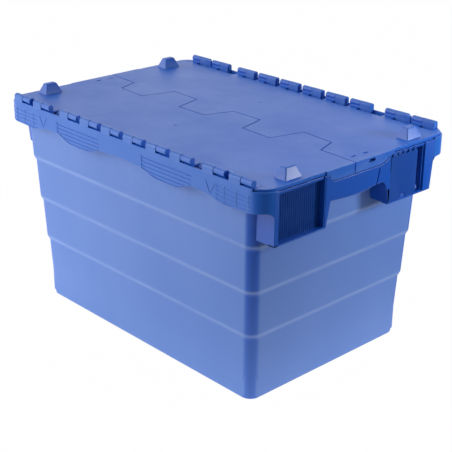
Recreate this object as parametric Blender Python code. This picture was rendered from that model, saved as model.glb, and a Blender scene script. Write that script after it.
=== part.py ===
"""Attached-lid stacking crate: a stepped, tapered tub with a deep collar, and two interlocking lid halves.

Metres, +Z up.  X runs along the crate, Y across it, and the origin is on the ground under its middle.
The crate looks the same after half a turn about Z, so the rear lid is the front lid turned round.
"""
import math

import bmesh
import bpy
from mathutils import Matrix, Vector

# ---- driving dimensions -------------------------------------------------------------------------
COLLAR_HALF_X = 0.300
COLLAR_HALF_Y = 0.200
COLLAR_RADIUS = 0.028
COLLAR_FOOT_Z = 0.308
SKIRT_WAVE = ((0.0, 0.320), (0.045, 0.318), (0.085, 0.309), (0.125, 0.309), (0.160, 0.319),
              (0.185, 0.319), (0.225, 0.312), (0.265, 0.313), (0.310, 0.3155))
COLLAR_TOP_Z = 0.3455
SKIRT = 0.003
DECK_Z = 0.3432
DECK_THICKNESS = 0.0047
HINGE_DECK_Z = 0.3415

LID_TOP_Z = 0.349
LID_PLATE = 0.003
LID_HALF_X = 0.297
LID_RIM_Z = 0.3437
LID_CORNER = 0.025
FIT_GAP = 0.0003

BASE_HALF_X = 0.2497
BASE_HALF_Y = 0.1665
TUB_RADIUS = 0.018
WALL = 0.003
FLOOR = 0.004
WALL_DRAFT = 0.038
STEP_OUT = 0.0028
STEP_RISE = 0.006
STEP_CENTRES_Z = (0.106, 0.178, 0.250)

# The hinge: ten modules on each long side, in groups of two, six and two.
AXIS_Y = 0.1947
AXIS_Z = 0.3547
HUB_RADIUS = 0.0053
PIN_RADIUS = 0.0024
BORE_RADIUS = 0.0029
PIN_LENGTH = 0.0085
MODULE = 0.053
HINGE_GROUPS = ((-0.277, 2), (-0.151, 6), (0.182, 2))
KNUCKLE = 0.022
FINGER = 0.0205
FINGER_GAP = 0.0005
HINGE_HALF = 0.279
SILL_TOP_Z = 0.349
SILL_THICKNESS = 0.0028
WING = 0.0085
WING_Y = (0.1885, 0.1925)
WING_TOP_Z = 0.359
WEB_THICKNESS = 0.0025
WEB_FOOT_Z = 0.3215
WEB_INNER_Y = 0.186
LID_EDGE_Y = 0.180
LID_EDGE_FOOT_Y = 0.187
FINGER_INNER_Y = 0.177
FINGER_FOOT_Y = 0.1885
FINGER_TOE_Y = 0.1893
FINGER_TIP_Y = 0.1954
UNDERSIDE_Z = 0.3465

# The seam between the halves: trapezoid teeth on a pitch of 150 mm.
SEAM_GAP = 0.0009
TOOTH_PITCH = 0.150
TOOTH_TIP = 0.060
TOOTH_DEPTH_HIGH = 0.029
TOOTH_DEPTH_LOW = 0.024
SEAM_END_Y = 0.0165

# Stacking lugs on the lid corners.
LUG_X = 0.2763
LUG_Y = 0.1295
LUG_HALF_X = 0.0122
LUG_HALF_Y = 0.0170
LUG_TOP_HALF_X = 0.0055
LUG_TOP_HALF_Y = 0.0095
LUG_HEIGHT = 0.016

# Ribs under each lid half: long ones along X, short ones across them.
RIB_THICKNESS = 0.0025
RIB_FOOT_Z = 0.338
LONG_RIB_HALF = 0.255
LONG_RIBS_Y = (-0.165, -0.105, -0.045)
CROSS_RIB_PITCH = 0.110
CROSS_RIB_Y = (-0.170, -0.040)

# The short ends, given for the +X end.
POCKET_BOX_Y = (-0.177, -0.0765)
PANEL_BOX_Y = (0.0595, 0.164)
BOX_FOOT_Z = 0.265
BOX_LEDGE = 0.003
BOX_ROOT_X = 0.262
HOLLOW_ROOT_X = 0.2735
POCKET_Y = (-0.169, -0.080)
PANEL_RECESS_Y = (0.0625, 0.142)
POCKET_BACK_X = 0.291
HANDLE_Y = (-0.079, 0.062)
HANDLE_FOOT_Z = 0.3025
HANDLE_SAG = 0.004
HANDLE_FLANGE = 0.009
HANDLE_FLANGE_THICKNESS = 0.003
CHEEK_HEAD_Z = 0.302
LEFT_CHEEK_Y = (-0.0745, -0.067, -0.079)
RIGHT_CHEEK_Y = (0.0605, 0.052, 0.062)
LIP_FOOT_Z = 0.3315
LIP_FOOT_Y = (-0.060, 0.041)
LIP_TOP_Y = (-0.076, 0.071)
SEAL_SLOT_Y = (0.0125, 0.0270)
SEAL_SLOT_Z = (0.3415, 0.3453)

PLATE_Y = (0.0632, 0.124)
PLATE_THICKNESS = 0.0027
PLATE_TOP_Z = 0.3365
PLATE_TAB = 0.005
PLATE_TABS = 5
LATCH_NOTCH_HALF = 0.006
PLATE_RIB_TOP_Z = 0.333
PLATE_RIB_INSET = 0.004

BLUE = (0.035, 0.115, 0.520, 1.0)
LID_BLUE = (0.050, 0.140, 0.560, 1.0)
LABEL_BLUE = (0.030, 0.105, 0.480, 1.0)


# ---- small modelling helpers --------------------------------------------------------------------
def clear_scene():
    for thing in list(bpy.data.objects):
        bpy.data.objects.remove(thing, do_unlink=True)


def plastic(name, colour, roughness):
    material = bpy.data.materials.new(name)
    material.use_nodes = True
    shader = material.node_tree.nodes["Principled BSDF"]
    shader.inputs["Base Color"].default_value = colour
    shader.inputs["Roughness"].default_value = roughness
    shader.inputs["Metallic"].default_value = 0.0
    return material


def solid(name, work):
    """Turn a finished bmesh into an object, with every face pointing out."""
    bmesh.ops.recalc_face_normals(work, faces=work.faces)
    mesh = bpy.data.meshes.new(name)
    work.to_mesh(mesh)
    work.free()
    made = bpy.data.objects.new(name, mesh)
    bpy.context.scene.collection.objects.link(made)
    return made


def loft(name, rings):
    """A closed solid through rings of equally many points, flat at both ends."""
    work = bmesh.new()
    loops = [[work.verts.new(point) for point in ring] for ring in rings]
    count = len(loops[0])
    for low, high in zip(loops, loops[1:]):
        for i in range(count):
            j = (i + 1) % count
            work.faces.new((low[i], low[j], high[j], high[i]))
    work.faces.new(loops[0][::-1])
    work.faces.new(loops[-1])
    return solid(name, work)


def box(name, low, high):
    corners = [(low[0], low[1]), (high[0], low[1]), (high[0], high[1]), (low[0], high[1])]
    return loft(name, [[(x, y, z) for x, y in corners] for z in (low[2], high[2])])


def bar(name, profile, start, end):
    """A profile of (y, z) points, drawn out along X."""
    return loft(name, [[(x, y, z) for y, z in profile] for x in (start, end)])


def cross_bar(name, profile, start, end):
    """A profile of (x, z) points, drawn out along Y."""
    return loft(name, [[(x, y, z) for x, z in profile] for y in (start, end)])


def rounded(half_x, half_y, radius, z, steps=4):
    """A rectangle with round corners, centred on the origin, at height z."""
    ring = []
    for quarter, (sx, sy) in enumerate(((1, 1), (-1, 1), (-1, -1), (1, -1))):
        for step in range(steps + 1):
            turn = math.radians(90 * (quarter + step / steps))
            x = sx * (half_x - radius) + radius * math.cos(turn)
            y = sy * (half_y - radius) + radius * math.sin(turn)
            ring.append((x, y, z))
    return ring


def combine(target, tool, operation):
    """Join the tool to the target, or cut it away, and throw the tool away."""
    cut = target.modifiers.new(operation, "BOOLEAN")
    cut.operation = operation
    cut.solver = "EXACT"
    cut.object = tool
    bpy.context.view_layer.update()
    graph = bpy.context.evaluated_depsgraph_get()
    mesh = bpy.data.meshes.new_from_object(target.evaluated_get(graph))
    target.modifiers.clear()
    target.data = mesh
    bpy.data.objects.remove(tool, do_unlink=True)


def turned(made):
    """Turn a solid half a turn about Z."""
    made.data.transform(Matrix.Rotation(math.pi, 4, "Z"))
    return made


def both_ends(target, make, operation):
    """Use a feature of the +X end at both ends."""
    combine(target, make(), operation)
    combine(target, turned(make()), operation)


def arc(centre, radius, start, end, steps):
    """Points on an arc in the (y, z) plane, from one angle in degrees to another."""
    points = []
    for step in range(steps + 1):
        turn = math.radians(start + (end - start) * step / steps)
        points.append((centre[0] + radius * math.cos(turn), centre[1] + radius * math.sin(turn)))
    return points


# ---- the tub ------------------------------------------------------------------------------------
def tub_levels(top):
    """Height and outward growth of the wall at each kink: four drafted tiers with three steps."""
    levels = [(0.0, 0.0)]
    grown = 0.0
    below = 0.0
    for centre in STEP_CENTRES_Z:
        foot = centre - STEP_RISE / 2
        grown += (foot - below) * WALL_DRAFT
        levels.append((foot, grown))
        grown += STEP_OUT
        below = centre + STEP_RISE / 2
        levels.append((below, grown))
    grown += (top - below) * WALL_DRAFT
    levels.append((top, grown))
    return levels


def tub_outside():
    rings = []
    for z, grown in tub_levels(HINGE_DECK_Z):
        rings.append(rounded(BASE_HALF_X + grown, BASE_HALF_Y + grown, TUB_RADIUS, z))
    return loft("tub", rings)


def tub_inside():
    above = COLLAR_TOP_Z + 0.01
    rings = []
    for z, grown in tub_levels(above):
        half_x = BASE_HALF_X + grown - WALL
        half_y = BASE_HALF_Y + grown - WALL
        rings.append(rounded(half_x, half_y, TUB_RADIUS - WALL, max(z, FLOOR)))
    return loft("cavity", rings)


# ---- the collar ---------------------------------------------------------------------------------
def collar_ring():
    """A downturned skirt under a flat deck, open below."""
    size = (COLLAR_HALF_X, COLLAR_HALF_Y, COLLAR_RADIUS)
    inner = [value - SKIRT for value in size]
    band = loft("band", [rounded(*size, z) for z in (COLLAR_FOOT_Z, COLLAR_TOP_Z)])
    channel_z = (COLLAR_FOOT_Z - 0.01, DECK_Z - DECK_THICKNESS)
    combine(band, loft("channel", [rounded(*inner, z) for z in channel_z]), "DIFFERENCE")
    seat = [value - SKIRT + 0.0005 for value in size]
    seat_z = (DECK_Z, COLLAR_TOP_Z + 0.01)
    combine(band, loft("seat", [rounded(*seat, z) for z in seat_z]), "DIFFERENCE")
    return band


def skirt_wave():
    """The lower edge of the skirt: shallow in the middle, deepest under the two ribbed panels."""
    edge = [(-x, z) for x, z in SKIRT_WAVE[:0:-1]] + list(SKIRT_WAVE)
    foot = COLLAR_FOOT_Z - 0.02
    return [(edge[0][0], foot)] + edge + [(edge[-1][0], foot)]


def hinge_starts():
    """Where each hinge module of the front side starts, going along +X, group by group."""
    return [[first + i * MODULE for i in range(count)] for first, count in HINGE_GROUPS]


def knuckle_profile():
    """The body's upright ear: leaning inside, upright outside, round on top."""
    foot = HINGE_DECK_Z - 0.0015
    centre = (-AXIS_Y, AXIS_Z)
    crown = arc(centre, HUB_RADIUS, 180, 25, 6)
    return [(-COLLAR_HALF_Y, foot)] + crown + [(-0.188, foot)]


def knuckle(start):
    """One ear with the stub pin that carries the lid finger beside it."""
    ear = bar("ear", knuckle_profile(), start, start + KNUCKLE)
    pin_profile = arc((-AXIS_Y, AXIS_Z), PIN_RADIUS, 0, 330, 11)
    pin_end = start + KNUCKLE + PIN_LENGTH
    combine(ear, bar("pin", pin_profile, start + KNUCKLE - 0.004, pin_end), "UNION")
    return ear


def side_rib(x):
    """A web between the skirt and the tub, under a knuckle."""
    low = (x - WEB_THICKNESS / 2, -COLLAR_HALF_Y + SKIRT / 2, WEB_FOOT_Z)
    high = (x + WEB_THICKNESS / 2, -WEB_INNER_Y, DECK_Z - DECK_THICKNESS + 0.001)
    return box("web", low, high)


def wing(start):
    """In a pair, the second knuckle is wider on its inner side and closes the gap beside it."""
    low = (start - WING, -WING_Y[1], HINGE_DECK_Z - 0.001)
    return box("wing", low, (start + 0.002, -WING_Y[0], WING_TOP_Z))


def add_hinge_side(body):
    """Knuckles, pins, wings and webs of both long sides."""
    for group in hinge_starts():
        for start in group:
            both_ends(body, lambda: knuckle(start), "UNION")
            both_ends(body, lambda: side_rib(start + KNUCKLE / 2), "UNION")
        if len(group) == 2:
            both_ends(body, lambda: wing(group[1]), "UNION")


# ---- the short ends -----------------------------------------------------------------------------
def end_box(span):
    """A closed box hung between the tub wall and the face of the collar."""
    low = (BOX_ROOT_X, span[0], BOX_FOOT_Z)
    return box("end_box", low, (COLLAR_HALF_X, span[1], DECK_Z - 0.001))


def box_hollow(span):
    """The space behind the box's back wall, open below."""
    low = (HOLLOW_ROOT_X, span[0] + SKIRT, BOX_FOOT_Z - 0.01)
    high = (POCKET_BACK_X - SKIRT, span[1] - SKIRT, DECK_Z - DECK_THICKNESS)
    return box("hollow", low, high)


def recess(span):
    """The shallow recess in the box's face, open up to the lid."""
    low = (POCKET_BACK_X, span[0], BOX_FOOT_Z + BOX_LEDGE)
    return box("recess", low, (COLLAR_HALF_X + 0.01, span[1], COLLAR_TOP_Z + 0.01))


def handle_bar():
    """The gripping bar: the collar's face carried down, with a flange turned in along its edge."""
    middle = (HANDLE_Y[0] + HANDLE_Y[1]) / 2
    half = (HANDLE_Y[1] - HANDLE_Y[0]) / 2
    edge = []
    for step in range(9):
        y = HANDLE_Y[0] + (HANDLE_Y[1] - HANDLE_Y[0]) * step / 8
        edge.append((y, HANDLE_FOOT_Z - HANDLE_SAG * (1 - ((y - middle) / half) ** 2)))
    top = DECK_Z - 0.001
    face = edge + [(HANDLE_Y[1], top), (HANDLE_Y[0], top)]
    raised = [(y, z + HANDLE_FLANGE_THICKNESS) for y, z in edge]
    made = bar("bar", face, COLLAR_HALF_X - SKIRT, COLLAR_HALF_X)
    flange = bar("flange", edge + raised[::-1], COLLAR_HALF_X - HANDLE_FLANGE, COLLAR_HALF_X - 0.001)
    combine(made, flange, "UNION")
    return made


def handle_cheek(foot, head, back):
    """A sloping cheek beside the hand opening: its foot, its head and its edge against the box."""
    top = DECK_Z - 0.002
    profile = [(foot, BOX_FOOT_Z), (head, CHEEK_HEAD_Z), (head, top), (back, top), (back, BOX_FOOT_Z)]
    return bar("cheek", profile, COLLAR_HALF_X - SKIRT, COLLAR_HALF_X)


def lip_seat():
    """Room in the face of the collar for the lip of the closed lids."""
    top = COLLAR_TOP_Z + 0.01
    foot = LIP_FOOT_Z - FIT_GAP
    seat_y = (LIP_TOP_Y[0] - 0.001, LIP_TOP_Y[1] + 0.001)
    profile = [(LIP_FOOT_Y[0] - 0.0005, foot), (LIP_FOOT_Y[1] + 0.0005, foot), (seat_y[1], DECK_Z),
               (seat_y[1], top), (seat_y[0], top), (seat_y[0], DECK_Z)]
    return bar("lip_seat", profile, LID_HALF_X - 0.0003, COLLAR_HALF_X + 0.01)


def panel_rib(y):
    """A rib in the panel recess that the label plate lies against."""
    low = (POCKET_BACK_X - 0.001, y - WEB_THICKNESS / 2, BOX_FOOT_Z + 0.001)
    return box("rib", low, (COLLAR_HALF_X - SKIRT - 2 * FIT_GAP, y + WEB_THICKNESS / 2, PLATE_RIB_TOP_Z))


def add_short_ends(body):
    """Pocket, handle and label panel at both ends."""
    both_ends(body, lambda: end_box(POCKET_BOX_Y), "UNION")
    both_ends(body, lambda: end_box(PANEL_BOX_Y), "UNION")
    both_ends(body, handle_bar, "UNION")
    for cheek in (LEFT_CHEEK_Y, RIGHT_CHEEK_Y):
        both_ends(body, lambda: handle_cheek(*cheek), "UNION")
    for span in (POCKET_BOX_Y, PANEL_BOX_Y):
        both_ends(body, lambda: box_hollow(span), "DIFFERENCE")
    for span in (POCKET_Y, PANEL_RECESS_Y):
        both_ends(body, lambda: recess(span), "DIFFERENCE")
    both_ends(body, lip_seat, "DIFFERENCE")
    for y in (PLATE_Y[0] + PLATE_RIB_INSET, PLATE_Y[1] - PLATE_RIB_INSET):
        both_ends(body, lambda: panel_rib(y), "UNION")


def top_cuts():
    """Sill and low deck along the hinges, and a low face where the lid rim crosses the end."""
    reach = 0.012
    top = COLLAR_TOP_Z + reach
    sill_low = (-HINGE_HALF, -COLLAR_HALF_Y - reach, SILL_TOP_Z)
    sill = box("sill_cut", sill_low, (HINGE_HALF, -BASE_HALF_Y, top))
    deck_low = (-HINGE_HALF, -COLLAR_HALF_Y + SILL_THICKNESS, HINGE_DECK_Z)
    deck = box("deck_cut", deck_low, (HINGE_HALF, -BASE_HALF_Y, top))
    ends = box("end_cut", (BASE_HALF_X, POCKET_Y[0], DECK_Z), (COLLAR_HALF_X + reach, PANEL_BOX_Y[1], top))
    return sill, deck, ends


def container_body():
    body = collar_ring()
    foot = cross_bar("wave", skirt_wave(), -COLLAR_HALF_Y - 0.01, COLLAR_HALF_Y + 0.01)
    combine(body, foot, "DIFFERENCE")
    combine(body, tub_outside(), "UNION")
    for turn_it in (False, True):
        for cutter in top_cuts():
            combine(body, turned(cutter) if turn_it else cutter, "DIFFERENCE")
    add_short_ends(body)
    combine(body, tub_inside(), "DIFFERENCE")
    add_hinge_side(body)
    body.name = "container_body"
    return body


# ---- the lids -----------------------------------------------------------------------------------
def seam():
    """The zigzag between the halves, from the -X end to the +X end; half a turn maps it on itself."""
    lean = TOOTH_PITCH / 2 - TOOTH_TIP
    half = [(0.0085, TOOTH_DEPTH_LOW)]
    x = half[0][0]
    half.append((x + TOOTH_TIP, TOOTH_DEPTH_LOW))
    half.append((x + TOOTH_TIP + lean - 0.002, -TOOTH_DEPTH_LOW - 0.002))
    half.append((x + 2 * TOOTH_TIP + lean - 0.002, -TOOTH_DEPTH_HIGH))
    half.append((x + TOOTH_PITCH - 0.001, TOOTH_DEPTH_HIGH))
    half.append((x + TOOTH_PITCH + TOOTH_TIP - 0.001, TOOTH_DEPTH_LOW))
    half.append((x + TOOTH_PITCH + TOOTH_TIP + lean - 0.003, -0.0132))
    half.append((LID_HALF_X - 0.014, -SEAM_END_Y))
    half.append((COLLAR_HALF_X + 0.001, -SEAM_END_Y))
    return [(-px, -py) for px, py in half[::-1]] + half


def shifted(points, amount):
    """The seam line moved sideways by a set amount, with mitred corners."""
    moved = []
    last = len(points) - 1
    for i, (x, y) in enumerate(points):
        before = Vector(points[max(i - 1, 0)])
        after = Vector(points[min(i + 1, last)])
        here = Vector((x, y))
        into = (here - before).normalized() if i > 0 else (after - here).normalized()
        out = (after - here).normalized() if i < last else into
        normal_in = Vector((-into.y, into.x))
        normal_out = Vector((-out.y, out.x))
        mitre = (normal_in + normal_out).normalized()
        reach = amount / mitre.dot(normal_in)
        moved.append((x + mitre.x * reach, y + mitre.y * reach))
    return moved


def lid_plate():
    """The flat half of the lid: the seam on one side, round corners and the hinge edge on the other."""
    low_z = LID_TOP_Z - LID_PLATE
    edge = [point for point in shifted(seam(), -SEAM_GAP / 2) if abs(point[0]) < LID_HALF_X]
    start = (-LID_HALF_X, SEAM_END_Y - SEAM_GAP / 2)
    end = (LID_HALF_X, -SEAM_END_Y - SEAM_GAP / 2)
    outer_y = -COLLAR_HALF_Y + SKIRT
    centre = (LID_HALF_X - LID_CORNER, outer_y + LID_CORNER)
    sweep = math.degrees(math.acos((HINGE_HALF - centre[0]) / LID_CORNER))
    right = arc(centre, LID_CORNER, 0, -sweep, 4) + [(HINGE_HALF, -LID_EDGE_Y)]
    left = [(-x, y) for x, y in right[::-1]]
    outline = [start] + edge + [end] + right + left
    return loft("lid", [[(x, y, z) for x, y in outline] for z in (low_z, LID_TOP_Z)])


def edge_bevel():
    """The sloping edge between the lid's face and the hinge deck."""
    low_z = LID_TOP_Z - LID_PLATE
    profile = [(-LID_EDGE_Y + 0.004, LID_TOP_Z), (-LID_EDGE_Y, LID_TOP_Z),
               (-LID_EDGE_FOOT_Y, LID_RIM_Z + 0.0015), (-LID_EDGE_FOOT_Y, LID_RIM_Z),
               (-LID_EDGE_FOOT_Y + LID_PLATE, LID_RIM_Z), (-LID_EDGE_Y + 0.004, low_z)]
    return bar("bevel", profile, -HINGE_HALF - 0.001, HINGE_HALF + 0.001)


def finger_profile():
    """A lid finger: a flat arm from the lid that ends in a round barrel over the pin."""
    barrel = arc((-AXIS_Y, AXIS_Z), HUB_RADIUS - FIT_GAP, -42, 262, 12)
    root = [(-FINGER_INNER_Y, UNDERSIDE_Z), (-FINGER_INNER_Y, LID_TOP_Z - 0.0002)]
    root += [(-FINGER_FOOT_Y, LID_TOP_Z), (-FINGER_TOE_Y, LID_TOP_Z + 0.0004)]
    return root + barrel + [(-FINGER_TIP_Y, UNDERSIDE_Z)]


def finger(start):
    """A finger with its blind bore."""
    low = start + KNUCKLE + FINGER_GAP
    made = bar("finger", finger_profile(), low, low + FINGER)
    bore = arc((-AXIS_Y, AXIS_Z), BORE_RADIUS, 0, 330, 11)
    combine(made, bar("bore", bore, low - 0.002, low + PIN_LENGTH + 0.001), "DIFFERENCE")
    return made


def rim(side):
    """The downturned rim along one short end."""
    span = (-COLLAR_HALF_Y + 0.027, -SEAM_END_Y * side - SEAM_GAP / 2)
    low_x, high_x = sorted((side * (LID_HALF_X - 0.003), side * LID_HALF_X))
    return box("rim", (low_x, span[0], LID_RIM_Z - 0.0002), (high_x, span[1], LID_TOP_Z - 0.001))


def lip(side):
    """The part of the end lip that this half carries; the other half carries the rest."""
    seam_y = -SEAM_END_Y * side - SEAM_GAP / 2
    foot_y, top_y = (LIP_FOOT_Y[0], LIP_TOP_Y[0]) if side > 0 else (-LIP_FOOT_Y[1], -LIP_TOP_Y[1])
    profile = [(seam_y, LIP_FOOT_Z), (foot_y, LIP_FOOT_Z), (top_y, DECK_Z + FIT_GAP),
               (top_y, LID_TOP_Z), (seam_y, LID_TOP_Z)]
    low_x, high_x = sorted((side * (LID_HALF_X + 0.0001), side * COLLAR_HALF_X))
    made = bar("lip", profile, low_x, high_x)
    low_x, high_x = sorted((side * (LID_HALF_X - 0.006), side * (COLLAR_HALF_X - 0.001)))
    web = box("web", (low_x, top_y, LID_TOP_Z - LID_PLATE), (high_x, seam_y, LID_TOP_Z - 0.0001))
    combine(made, web, "UNION")
    return made


def seal_slot():
    """The slot for a numbered seal, through the lip at the -X end."""
    return box("slot", (-COLLAR_HALF_X - 0.01, -SEAL_SLOT_Y[1], SEAL_SLOT_Z[0]),
               (-LID_HALF_X - 0.00005, -SEAL_SLOT_Y[0], SEAL_SLOT_Z[1]))


def lug(x):
    """A stacking lug: a truncated pyramid that locates the crate above."""
    rings = []
    for z, half_x, half_y in ((LID_TOP_Z - 0.001, LUG_HALF_X, LUG_HALF_Y),
                              (LID_TOP_Z + LUG_HEIGHT, LUG_TOP_HALF_X, LUG_TOP_HALF_Y)):
        rings.append([(x + sx * half_x, -LUG_Y + sy * half_y, z)
                      for sx, sy in ((-1, -1), (1, -1), (1, 1), (-1, 1))])
    return loft("lug", rings)


def stiffener(low, high):
    """A straight rib on the underside of the lid."""
    return box("rib", (low[0], low[1], RIB_FOOT_Z), (high[0], high[1], LID_TOP_Z - 0.001))


def stiffeners():
    """Three long ribs, and five cross ribs over them."""
    half = RIB_THICKNESS / 2
    for y in LONG_RIBS_Y:
        yield stiffener((-LONG_RIB_HALF, y - half), (LONG_RIB_HALF, y + half))
    for i in range(-2, 3):
        x = i * CROSS_RIB_PITCH
        yield stiffener((x - half, CROSS_RIB_Y[0]), (x + half, CROSS_RIB_Y[1]))


def front_lid():
    lid = lid_plate()
    combine(lid, edge_bevel(), "UNION")
    for start in sum(hinge_starts(), []):
        combine(lid, finger(start), "UNION")
    for side in (-1, 1):
        combine(lid, rim(side), "UNION")
        combine(lid, lip(side), "UNION")
        combine(lid, lug(side * LUG_X), "UNION")
    combine(lid, seal_slot(), "DIFFERENCE")
    for rib in stiffeners():
        combine(lid, rib, "UNION")
    lid.name = "lid_front"
    return lid


# ---- the label plates ---------------------------------------------------------------------------
def label_plate():
    """A flat snap-in plate with tabs along its top and a notch for the latch at its foot."""
    face_x = COLLAR_HALF_X - FIT_GAP
    foot = BOX_FOOT_Z + BOX_LEDGE + FIT_GAP
    width = PLATE_Y[1] - PLATE_Y[0]
    back_x = face_x - PLATE_THICKNESS
    plate = box("label_plate", (back_x, PLATE_Y[0], foot), (face_x, PLATE_Y[1], PLATE_TOP_Z))
    for i in range(PLATE_TABS):
        start = PLATE_Y[0] + width * (2 * i + 0.5) / (2 * PLATE_TABS)
        low = (back_x, start, PLATE_TOP_Z - 0.001)
        high = (face_x, start + width / (2 * PLATE_TABS), PLATE_TOP_Z + PLATE_TAB)
        combine(plate, box("tab", low, high), "UNION")
    middle = (PLATE_Y[0] + PLATE_Y[1]) / 2
    half = LATCH_NOTCH_HALF
    notch_low = (back_x - 0.01, middle - half, foot - 0.01)
    notch = box("notch", notch_low, (face_x + 0.01, middle + half, foot + half))
    combine(plate, notch, "DIFFERENCE")
    return plate


# ---- put together -------------------------------------------------------------------------------
def hang(piece, side):
    """Put a lid's origin on its hinge axis, under an empty that a hinge would turn."""
    pivot = bpy.data.objects.new("pivot_" + piece.name, None)
    pivot.location = (0.0, side * AXIS_Y, AXIS_Z)
    bpy.context.scene.collection.objects.link(pivot)
    piece.data.transform(Matrix.Translation(-pivot.location))
    piece.parent = pivot


def finish(piece, material):
    piece.data.materials.clear()
    piece.data.materials.append(material)
    work = bmesh.new()
    work.from_mesh(piece.data)
    bmesh.ops.remove_doubles(work, verts=work.verts, dist=0.00002)
    bmesh.ops.dissolve_limit(work, angle_limit=math.radians(0.2), verts=work.verts, edges=work.edges)
    bmesh.ops.triangulate(work, faces=work.faces)
    work.to_mesh(piece.data)
    work.free()


def build():
    clear_scene()
    body_blue = plastic("crate_polypropylene", BLUE, 0.45)
    lid_blue = plastic("lid_polypropylene", LID_BLUE, 0.42)
    label_blue = plastic("label_polypropylene", LABEL_BLUE, 0.38)

    finish(container_body(), body_blue)

    front = front_lid()
    finish(front, lid_blue)
    rear = bpy.data.objects.new("lid_rear", front.data.copy())
    bpy.context.scene.collection.objects.link(rear)
    turned(rear)
    hang(front, -1)
    hang(rear, 1)

    right = label_plate()
    right.name = "label_plate_right"
    finish(right, label_blue)
    left = bpy.data.objects.new("label_plate_left", right.data.copy())
    bpy.context.scene.collection.objects.link(left)
    turned(left)


build()
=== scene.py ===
"""The looks of the attached-lid stacking crate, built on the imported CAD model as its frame."""
import math

import bmesh
import bpy
from mathutils import Matrix, Vector


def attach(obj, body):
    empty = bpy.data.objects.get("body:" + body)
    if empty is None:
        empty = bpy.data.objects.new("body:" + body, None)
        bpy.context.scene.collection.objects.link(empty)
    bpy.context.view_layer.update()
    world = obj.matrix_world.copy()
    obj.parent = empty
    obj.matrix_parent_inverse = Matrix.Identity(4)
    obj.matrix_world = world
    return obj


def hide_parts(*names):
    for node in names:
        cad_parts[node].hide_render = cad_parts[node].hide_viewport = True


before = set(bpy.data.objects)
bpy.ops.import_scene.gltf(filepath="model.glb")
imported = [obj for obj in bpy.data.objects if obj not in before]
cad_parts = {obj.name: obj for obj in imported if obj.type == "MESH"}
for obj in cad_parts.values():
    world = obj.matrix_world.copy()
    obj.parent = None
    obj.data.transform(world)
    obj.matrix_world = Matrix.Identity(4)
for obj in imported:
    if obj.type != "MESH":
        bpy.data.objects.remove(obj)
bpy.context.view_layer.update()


# ---- the tub ------------------------------------------------------------------------------------
# One moulding of blue polypropylene with 3 mm walls.  Four drafted tiers step outwards so that empty
# crates nest, and the tool leaves a soft radius at every kink and a fine matt grain on the walls.
WALL = 0.003
FLOOR = 0.004
BASE_HALF_X = 0.2497
BASE_HALF_Y = 0.1665
TUB_RADIUS = 0.018
DRAFT = 0.038
STEP_OUT = 0.0028
STEP_RISE = 0.006
STEP_HEIGHTS = (0.106, 0.178, 0.250)
KINK_SOFTNESS = 0.0022
# Height above each step's middle of the painted highlight line.
HIGHLIGHT_ABOVE_STEP = 0.0032
DECK_Z = 0.3432
FOOT_SOFTNESS = 0.0025
SKID_WIDTH = 0.016
SKID_DEPTH = 0.0012
# The walls' blues are paler than the collar's: partly the haze of the matt grain, partly a painted sheen.
WALL_BLUE_WITH_SHEEN = (0.122, 0.242, 0.650, 1.0)
WALL_BLUE_DEEP_WITH_SHEEN = (0.108, 0.222, 0.615, 1.0)
# Pale colour for rubbed edges, and also for the painted highlight lines along the steps.
RUBBED_AND_HIGHLIT_BLUE = (0.260, 0.390, 0.760, 1.0)
# Painted shade: the deep colour laid over the upright corners, which face away from the lamps.
CORNER_SHADE_BLUE = (0.008, 0.105, 0.640, 1.0)


def corner_ring(half_x, half_y, radius, z, steps=8):
    """A rectangle with round corners, seen from above, at height z."""
    ring = []
    for quarter, (sx, sy) in enumerate(((1, 1), (-1, 1), (-1, -1), (1, -1))):
        for step in range(steps + 1):
            turn = math.radians(90 * (quarter + step / steps))
            x = sx * (half_x - radius) + radius * math.cos(turn)
            y = sy * (half_y - radius) + radius * math.sin(turn)
            ring.append(Vector((x, y, z)))
    return ring


def skin(work, rings, close_ends=True):
    """Stretch a skin of quads over closed rings of equally many points."""
    loops = [[work.verts.new(point) for point in ring] for ring in rings]
    count = len(loops[0])
    for low, high in zip(loops, loops[1:]):
        for i in range(count):
            j = (i + 1) % count
            work.faces.new((low[i], low[j], high[j], high[i]))
    if close_ends:
        work.faces.new(loops[0][::-1])
        work.faces.new(loops[-1])
    return loops


def softened(line, reach, steps=3):
    """A line of (across, z) points with each inner kink turned into a short curve."""
    soft = [line[0]]
    for before, here, after in zip(line, line[1:], line[2:]):
        p, q, r = Vector(before), Vector(here), Vector(after)
        start = q + (p - q).normalized() * min(reach, (p - q).length * 0.45)
        end = q + (r - q).normalized() * min(reach, (r - q).length * 0.45)
        for step in range(steps + 1):
            t = step / steps
            soft.append(tuple(start * (1 - t) ** 2 + q * 2 * t * (1 - t) + end * t ** 2))
    soft.append(line[-1])
    return soft


def tier_line(low, high):
    """How far the wall has grown outwards at each height, from low to high."""
    line = [(0.0, 0.0)]
    grown, below = 0.0, 0.0
    for centre in STEP_HEIGHTS:
        foot, head = centre - STEP_RISE / 2, centre + STEP_RISE / 2
        grown += (foot - below) * DRAFT
        line.append((grown, foot))
        grown += STEP_OUT
        line.append((grown, head))
        below = head
    line.append((grown + (high - below) * DRAFT, high))
    soft = softened(line, KINK_SOFTNESS)
    return [(grown, z) for grown, z in soft if z > low]


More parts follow.
